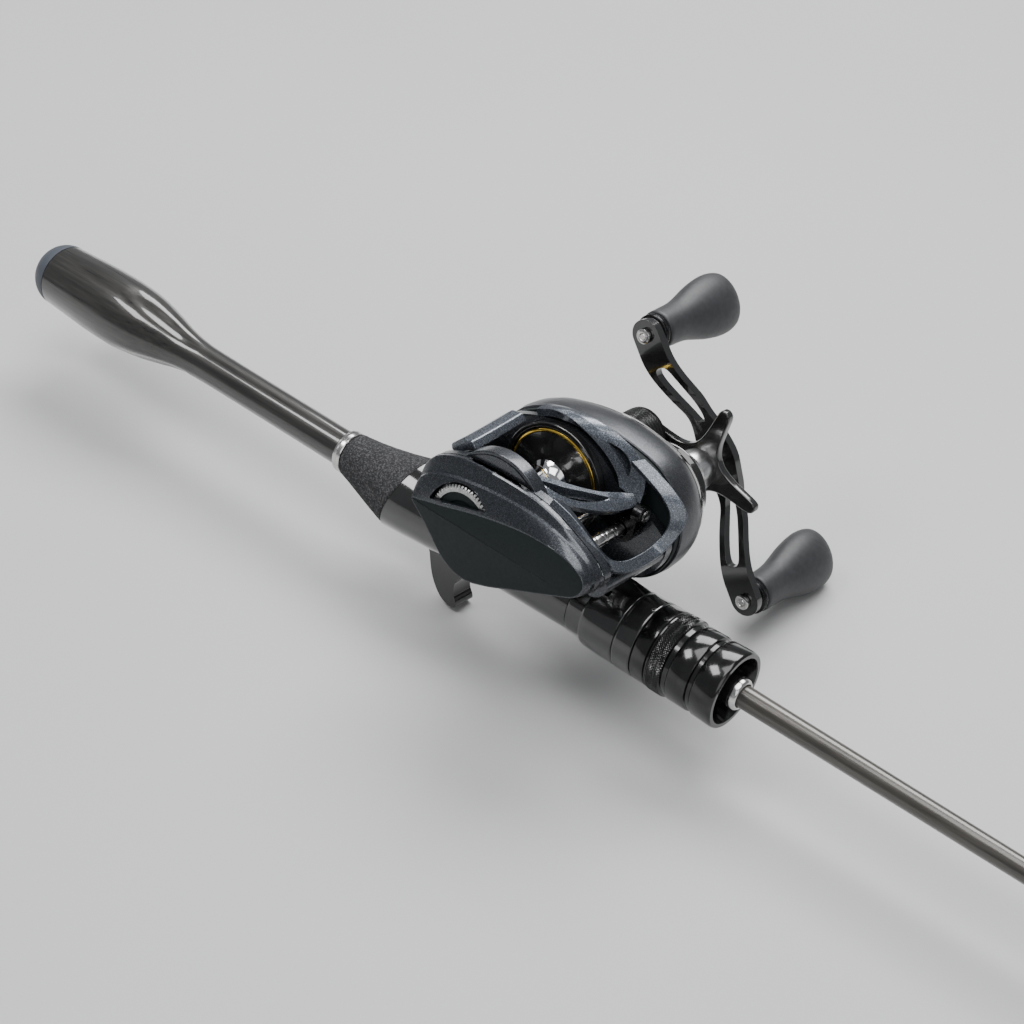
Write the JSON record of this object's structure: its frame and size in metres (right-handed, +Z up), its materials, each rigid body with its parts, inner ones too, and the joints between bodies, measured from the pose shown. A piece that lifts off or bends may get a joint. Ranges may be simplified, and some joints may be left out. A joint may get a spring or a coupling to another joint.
{
  "type": "baitcasting rod and reel",
  "caption": "One-handed casting rod with split foam grip, trigger reel seat and a low-profile reel with star drag and double-knob crank.",
  "frame": {"origin": "centre of the bounding box's base, on the surface that the rod lies on", "axes": "+X along the rod towards its tip, +Y towards the crank handle's side, +Z up; the rod lies on its seat's trigger, the lower handle knob and the tip-top, so its own axis is rolled about 8 degrees and pitched about 1.5 degrees"},
  "size_m": [1.2028, 0.1254, 0.084],
  "materials": {
    "carbon": "clear-coated carbon blank, dark warm grey",
    "foam": "matte closed-cell foam, charcoal",
    "gloss": "polished black",
    "flake": "black metallic paint with a fine silver-blue flake",
    "satin": "satin black",
    "anodised": "black anodised, turned and knurled",
    "steel": "polished stainless steel",
    "brass": "machined brass",
    "gold": "gold anodised",
    "ceramic": "polished dark ceramic",
    "soft_knob": "soft-touch black",
    "pad": "drag washer fibre and acetal"
  },
  "bodies": {
    "rod": {"butt_cap": "satin", "butt_tube": "carbon", "rear_trim_ring": "steel", "rear_grip": "foam", "reel_seat": "gloss", "seat_thread": "satin", "winding_check": "satin", "blank_butt": "carbon", "ferrule_wrap": "gloss", "guide_1_frame": "steel", "guide_1_ring": "ceramic", "guide_2_frame": "steel", "guide_2_ring": "ceramic", "reel_frame": "flake", "reel_foot": "satin", "top_cover": "flake", "gear_side_plate": "satin", "gearbox_cover": "flake", "guide_rod": "steel", "antireverse_bearing": "steel"},
    "hood": {"moving_hood": "gloss"},
    "nut": {"lock_nut": "anodised"},
    "tip": {"blank_tip": "carbon", "guide_3_frame": "steel", "guide_3_ring": "ceramic", "guide_4_frame": "steel", "guide_4_ring": "ceramic", "guide_5_frame": "steel", "guide_5_ring": "ceramic", "guide_6_frame": "steel", "guide_6_ring": "ceramic", "tip_top": "steel"},
    "side_plate": {"palm_side_plate": "satin", "brake_magnets": "steel", "palm_bearing": "steel"},
    "dial": {"brake_dial": "anodised"},
    "spool": {"spool": "anodised", "spool_shaft": "steel", "pinion_gear": "brass"},
    "handle": {"drive_shaft": "steel", "main_gear": "brass", "level_drive_gear": "brass", "drag_washers": "pad", "handle_arm": "gloss", "handle_nut": "steel", "knob_pin_a": "steel", "knob_pin_b": "steel"},
    "star": {"star_drag": "gloss"},
    "knob_a": {"knob_a": "soft_knob", "knob_collar_a": "anodised"},
    "knob_b": {"knob_b": "soft_knob", "knob_collar_b": "anodised"},
    "worm": {"worm_shaft": "steel", "worm_gear": "pad"},
    "line_guide": {"line_guide": "anodised", "line_guide_eye": "ceramic"},
    "thumb_bar": {"thumb_bar": "flake"},
    "tension": {"tension_knob": "anodised", "tension_ring": "gold"}
  },
  "joints": [
    {"name": "handle_turn", "type": "hinge", "parent": "rod", "child": "handle", "pos_m": [-0.36363, -0.03083, 0.0523], "axis": [-0.0035, 0.9911, -0.1331], "continuous": true},
    {"name": "spool_turn", "type": "hinge", "parent": "rod", "child": "spool", "pos_m": [-0.38377, -0.03051, 0.05521], "axis": [-0.0035, 0.9911, -0.1331], "continuous": true},
    {"name": "worm_turn", "type": "hinge", "parent": "rod", "child": "worm", "pos_m": [-0.35679, -0.0306, 0.05381], "axis": [-0.0035, 0.9911, -0.1331], "continuous": true},
    {"name": "knob_a_spin", "type": "hinge", "parent": "handle", "child": "knob_a", "pos_m": [-0.38972, 0.01948, 0.07901], "axis": [-0.0035, 0.9911, -0.1331], "continuous": true},
    {"name": "knob_b_spin", "type": "hinge", "parent": "handle", "child": "knob_b", "pos_m": [-0.33787, 0.01083, 0.01324], "axis": [-0.0035, 0.9911, -0.1331], "continuous": true},
    {"name": "star_drag_turn", "type": "hinge", "parent": "handle", "child": "star", "pos_m": [-0.36375, 0.00108, 0.04802], "axis": [-0.0035, 0.9911, -0.1331], "range_deg": [-180, 180]},
    {"name": "line_guide_slide", "type": "slide", "parent": "rod", "child": "line_guide", "axis": [-0.0035, 0.9911, -0.1331], "range_m": [-0.0165, 0.0005]},
    {"name": "thumb_bar_press", "type": "slide", "parent": "rod", "child": "thumb_bar", "axis": [-0.3547, -0.1256, -0.9265], "range_m": [0, 0.003], "stiffness_N_per_m": 600, "springref_m": -0.0005},
    {"name": "tension_knob_turn", "type": "hinge", "parent": "rod", "child": "tension", "pos_m": [-0.38388, 0.0014, 0.05092], "axis": [-0.0035, 0.9911, -0.1331], "range_deg": [-180, 180]},
    {"name": "side_plate_slide", "type": "slide", "parent": "rod", "child": "side_plate", "axis": [0.0035, -0.9911, 0.1331], "range_m": [0, 0.02]},
    {"name": "brake_dial_turn", "type": "hinge", "parent": "side_plate", "child": "dial", "pos_m": [-0.39034, -0.05401, 0.05248], "axis": [-0.0035, 0.9911, -0.1331], "range_deg": [-150, 150]},
    {"name": "hood_slide", "type": "slide", "parent": "rod", "child": "hood", "axis": [0.9997, 0, -0.0262], "range_m": [0, 0.012]},
    {"name": "lock_nut_turn", "type": "hinge", "parent": "hood", "child": "nut", "pos_m": [-0.33811, -0.03426, 0.02605], "axis": [0.9997, 0, -0.0262], "range_deg": [0, 2880]},
    {"name": "tip_section_slide", "type": "slide", "parent": "rod", "child": "tip", "axis": [0.9997, 0, -0.0262], "range_m": [0, 0.06]}
  ],
  "couplings": [
    {"joint": "spool_turn", "follows": "handle_turn", "ratio": -7.2},
    {"joint": "worm_turn", "follows": "handle_turn", "ratio": -1.2308},
    {"joint": "hood_slide", "follows": "lock_nut_turn", "m_per_rad": 0.00023873}
  ]
}
